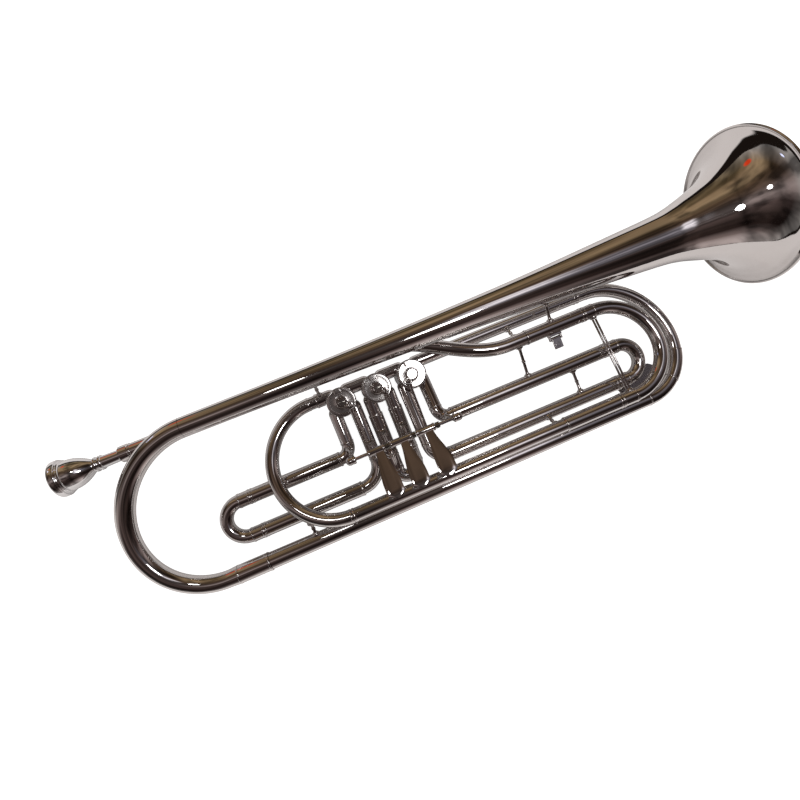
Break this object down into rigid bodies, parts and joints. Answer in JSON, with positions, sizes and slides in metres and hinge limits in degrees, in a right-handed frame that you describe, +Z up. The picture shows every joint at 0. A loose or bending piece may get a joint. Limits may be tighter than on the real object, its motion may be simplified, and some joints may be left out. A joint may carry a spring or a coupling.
{
  "type": "flugelhorn",
  "caption": "Rotary-valve flugelhorn, nickel plated: a long conical bell beside a folded oblong of tubing, with pull slides, touchpiece levers, a water key and a mouthpiece.",
  "frame": {"origin": "middle of the bounding box, on the table that the horn lies on", "axes": "+X from the mouthpiece to the bell, +Y from the folded tubing towards the bell tube, +Z up from the table, with the touchpieces on top"},
  "size_m": [0.706, 0.2252, 0.154],
  "materials": {
    "nickel_plate": "polished nickel plate over brass",
    "mouthpiece_silver": "polished silver plate over brass",
    "rotor_brass": "lapped bare brass",
    "spring_steel": "wound spring wire"
  },
  "bodies": {
    "horn": {"bell": "nickel_plate", "outer_bow": "nickel_plate", "lower_outer_tube": "nickel_plate", "left_bow": "nickel_plate", "mouthpiece_receiver": "nickel_plate", "leadpipe": "nickel_plate", "tuning_sleeve_upper": "nickel_plate", "lower_inner_tube": "nickel_plate", "d_loop": "nickel_plate", "valve_casing_1": "nickel_plate", "valve_bottom_cap_1": "nickel_plate", "valve_casing_2": "nickel_plate", "valve_bottom_cap_2": "nickel_plate", "valve_casing_3": "nickel_plate", "valve_bottom_cap_3": "nickel_plate", "valve_knuckle_1_2": "nickel_plate", "valve_knuckle_2_3": "nickel_plate", "inlet_ferrule": "nickel_plate", "outlet_tube": "nickel_plate", "first_slide_tube_upper": "nickel_plate", "first_slide_tube_lower": "nickel_plate", "third_slide_tube_upper": "nickel_plate", "third_slide_tube_lower": "nickel_plate", "second_slide_tube_left": "nickel_plate", "second_slide_tube_right": "nickel_plate", "lever_spring_1": "spring_steel", "lever_spring_2": "spring_steel", "lever_spring_3": "spring_steel", "lever_axle": "nickel_plate", "axle_bracket_left": "nickel_plate", "axle_bracket_right": "nickel_plate", "brace_bell_machine": "nickel_plate", "brace_d_loop": "nickel_plate", "brace_bell_leadpipe": "nickel_plate", "brace_outlet_leadpipe": "nickel_plate", "brace_leadpipe_third": "nickel_plate", "brace_third_slide": "nickel_plate", "brace_third_lower": "nickel_plate", "water_key_saddle": "nickel_plate", "bow_guard_plate": "nickel_plate"},
    "tuning_slide": {"tuning_slide": "nickel_plate", "tuning_slide_brace": "nickel_plate"},
    "first_slide": {"first_slide": "nickel_plate"},
    "second_slide": {"second_slide": "nickel_plate"},
    "third_slide": {"third_slide": "nickel_plate"},
    "mouthpiece": {"mouthpiece": "mouthpiece_silver"},
    "water_key": {"water_key": "nickel_plate"},
    "rotor_1": {"valve_rotor_1": "rotor_brass", "stop_arm_1": "nickel_plate"},
    "lever_1": {"lever_1": "nickel_plate"},
    "link_1": {"link_rod_1": "nickel_plate"},
    "rotor_2": {"valve_rotor_2": "rotor_brass", "stop_arm_2": "nickel_plate"},
    "lever_2": {"lever_2": "nickel_plate"},
    "link_2": {"link_rod_2": "nickel_plate"},
    "rotor_3": {"valve_rotor_3": "rotor_brass", "stop_arm_3": "nickel_plate"},
    "lever_3": {"lever_3": "nickel_plate"},
    "link_3": {"link_rod_3": "nickel_plate"}
  },
  "joints": [
    {"name": "tuning_slide_pull", "type": "slide", "parent": "horn", "child": "tuning_slide", "axis": [0.9984, -0.0023, 0.0573], "range_m": [0, 0.025]},
    {"name": "first_slide_pull", "type": "slide", "parent": "horn", "child": "first_slide", "axis": [-0.9984, 0.0023, -0.0573], "range_m": [0, 0.018]},
    {"name": "second_slide_pull", "type": "slide", "parent": "horn", "child": "second_slide", "axis": [0.0061, -0.9893, -0.1456], "range_m": [0, 0.012]},
    {"name": "third_slide_pull", "type": "slide", "parent": "horn", "child": "third_slide", "axis": [0.9984, -0.0023, 0.0573], "range_m": [0, 0.02]},
    {"name": "mouthpiece_pull", "type": "slide", "parent": "horn", "child": "mouthpiece", "axis": [-0.9984, 0.0023, -0.0573], "range_m": [0, 0.02]},
    {"name": "water_key_hinge", "type": "hinge", "parent": "horn", "child": "water_key", "pos_m": [0.12553, -0.01289, 0.05076], "axis": [0.9984, -0.0023, 0.0573], "range_deg": [0, 25], "stiffness_Nm_per_rad": 0.02, "springref_deg": -28.65},
    {"name": "lever_1_hinge", "type": "hinge", "parent": "horn", "child": "lever_1", "pos_m": [-0.09113, -0.04546, 0.05823], "axis": [0.9984, -0.0023, 0.0573], "range_deg": [0, 22], "stiffness_Nm_per_rad": 0.12, "springref_deg": -28.65},
    {"name": "link_1_hinge", "type": "hinge", "parent": "lever_1", "child": "link_1", "pos_m": [-0.08964, -0.04837, 0.03213], "axis": [0.9984, -0.0023, 0.0573], "range_deg": [-22, 0]},
    {"name": "rotor_1_turn", "type": "hinge", "parent": "horn", "child": "rotor_1", "pos_m": [-0.08887, 0.00924, 0.02106], "axis": [-0.0573, -0.0811, 0.9951], "range_deg": [0, 90]},
    {"name": "lever_2_hinge", "type": "hinge", "parent": "horn", "child": "lever_2", "pos_m": [-0.05519, -0.04554, 0.0603], "axis": [0.9984, -0.0023, 0.0573], "range_deg": [0, 22], "stiffness_Nm_per_rad": 0.12, "springref_deg": -28.65},
    {"name": "link_2_hinge", "type": "hinge", "parent": "lever_2", "child": "link_2", "pos_m": [-0.0537, -0.04845, 0.03419], "axis": [0.9984, -0.0023, 0.0573], "range_deg": [-22, 0]},
    {"name": "rotor_2_turn", "type": "hinge", "parent": "horn", "child": "rotor_2", "pos_m": [-0.05293, 0.00916, 0.02313], "axis": [-0.0573, -0.0811, 0.9951], "range_deg": [0, 90]},
    {"name": "lever_3_hinge", "type": "hinge", "parent": "horn", "child": "lever_3", "pos_m": [-0.01925, -0.04562, 0.06236], "axis": [0.9984, -0.0023, 0.0573], "range_deg": [0, 22], "stiffness_Nm_per_rad": 0.12, "springref_deg": -28.65},
    {"name": "link_3_hinge", "type": "hinge", "parent": "lever_3", "child": "link_3", "pos_m": [-0.01776, -0.04854, 0.03625], "axis": [0.9984, -0.0023, 0.0573], "range_deg": [-22, 0]},
    {"name": "rotor_3_turn", "type": "hinge", "parent": "horn", "child": "rotor_3", "pos_m": [-0.01699, 0.00907, 0.02519], "axis": [0.0573, 0.0811, -0.9951], "range_deg": [0, 90]}
  ],
  "couplings": [
    {"joint": "link_1_hinge", "follows": "lever_1_hinge", "ratio": -1},
    {"joint": "rotor_1_turn", "follows": "lever_1_hinge", "ratio": 4.0909},
    {"joint": "link_2_hinge", "follows": "lever_2_hinge", "ratio": -1},
    {"joint": "rotor_2_turn", "follows": "lever_2_hinge", "ratio": 4.0909},
    {"joint": "link_3_hinge", "follows": "lever_3_hinge", "ratio": -1},
    {"joint": "rotor_3_turn", "follows": "lever_3_hinge", "ratio": 4.0909}
  ]
}
